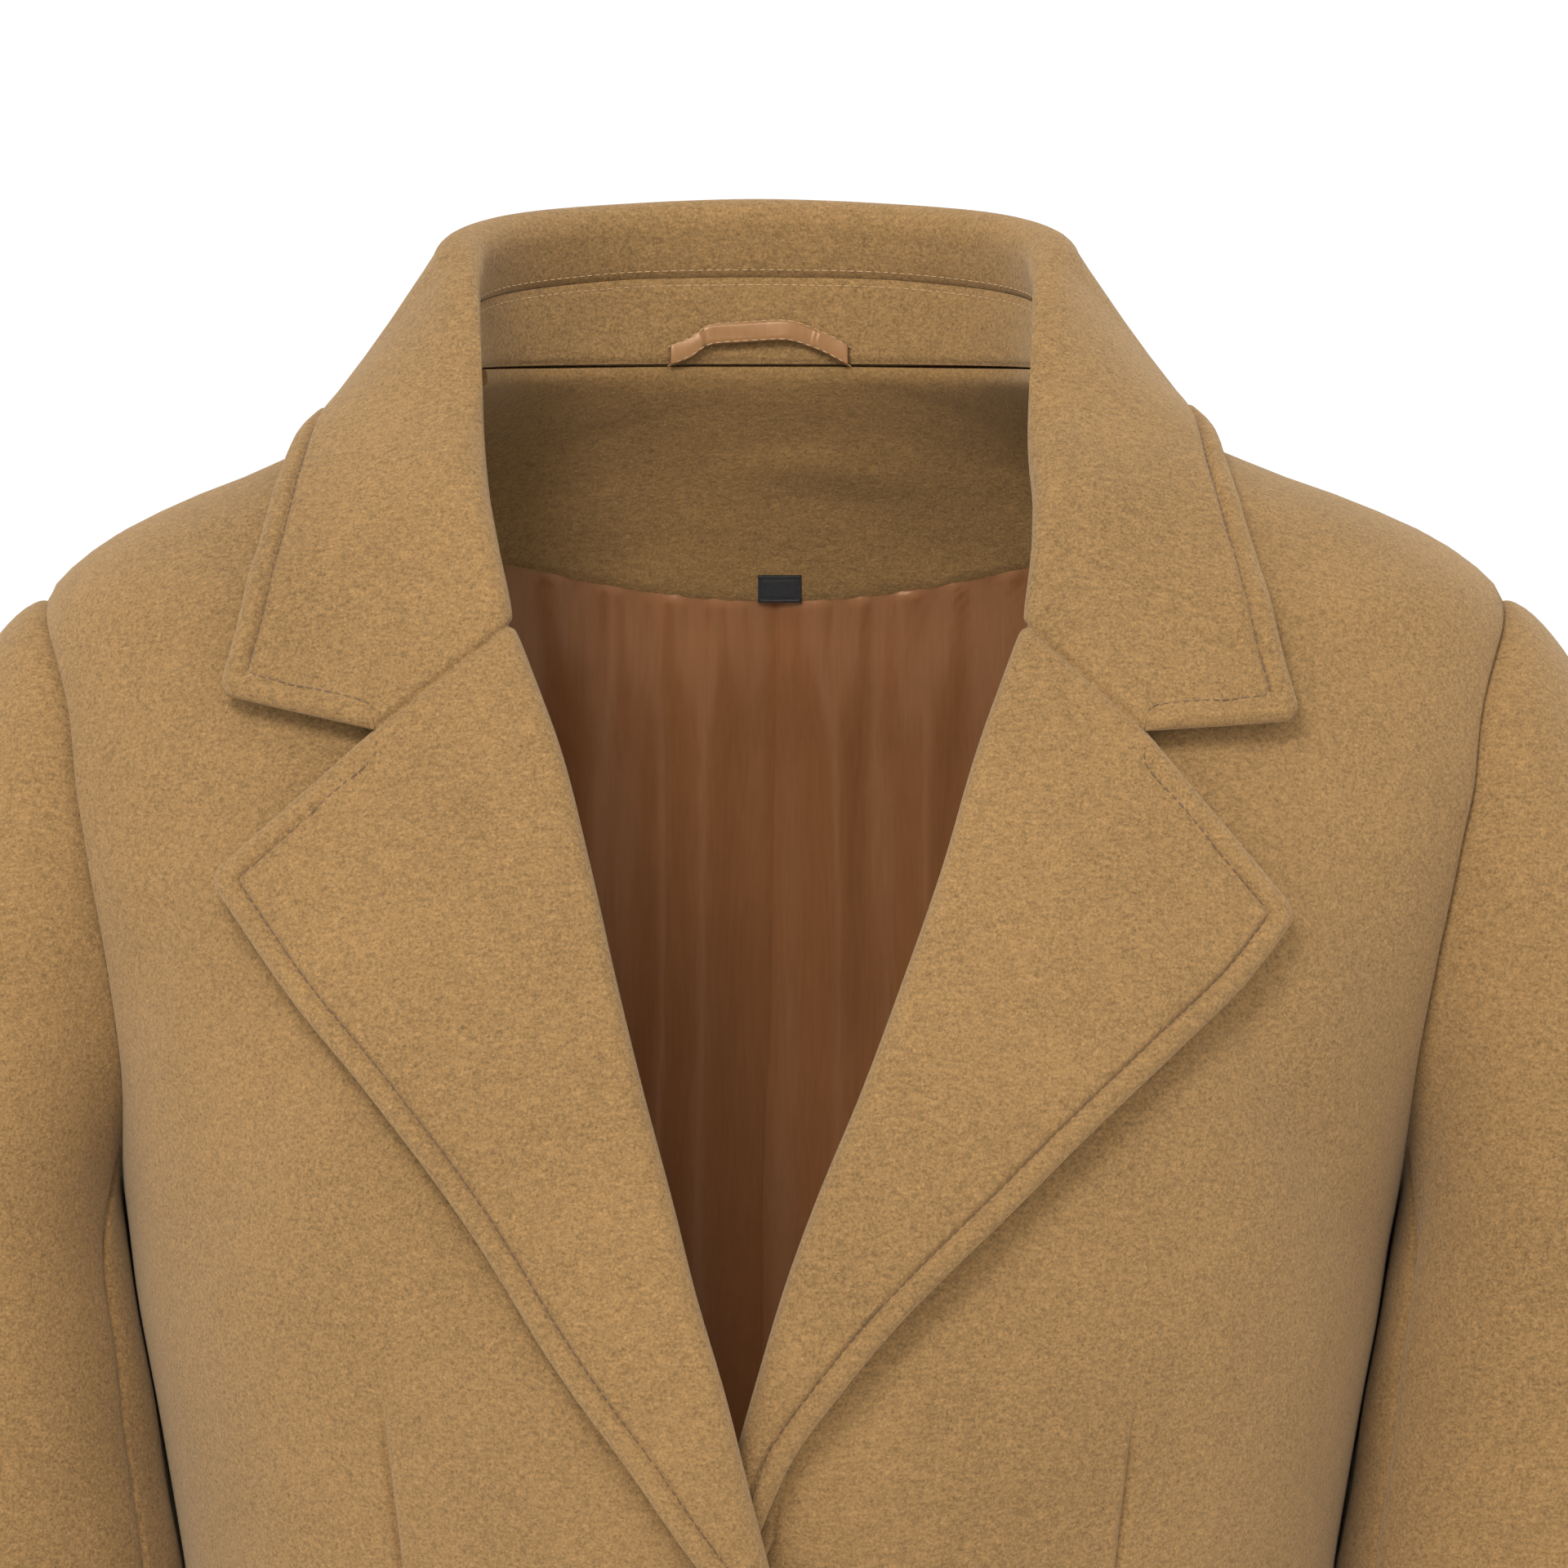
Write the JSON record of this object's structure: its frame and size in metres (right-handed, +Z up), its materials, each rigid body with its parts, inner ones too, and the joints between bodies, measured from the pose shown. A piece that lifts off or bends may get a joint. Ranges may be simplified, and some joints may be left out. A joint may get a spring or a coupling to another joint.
{
  "type": "short coat",
  "caption": "Short wool coat with a wide notched collar and lapels, set-in sleeves and a satin-lined back: hollow, as it hangs when worn.",
  "frame": {"origin": "middle of the seam between the collar and the back, at the nape, where the coat hangs on the wearer's neck and shoulders", "axes": "+X to the wearer's left, +Y to the wearer's back, +Z up along the coat's length"},
  "size_m": [0.628, 0.2736, 0.7503],
  "materials": {
    "wool": "matte felted wool",
    "facing": "matte felted wool",
    "satin": "soft satin sheen",
    "label": "matte woven",
    "horn": "satin horn-look plastic"
  },
  "bodies": {
    "root": {"back": "wool", "front_right": "wool", "front_left": "wool", "lapel_right": "wool", "lapel_left": "wool", "collar": "wool", "collar_stand": "wool", "sleeve_top_right": "wool", "sleeve_under_right": "wool", "sleeve_top_left": "wool", "sleeve_under_left": "wool", "back_neck_facing": "facing", "lining_right": "satin", "lining_left": "satin", "hanger_loop": "satin", "neck_label": "label", "button_upper": "horn", "button_lower": "horn"}
  },
  "joints": []
}
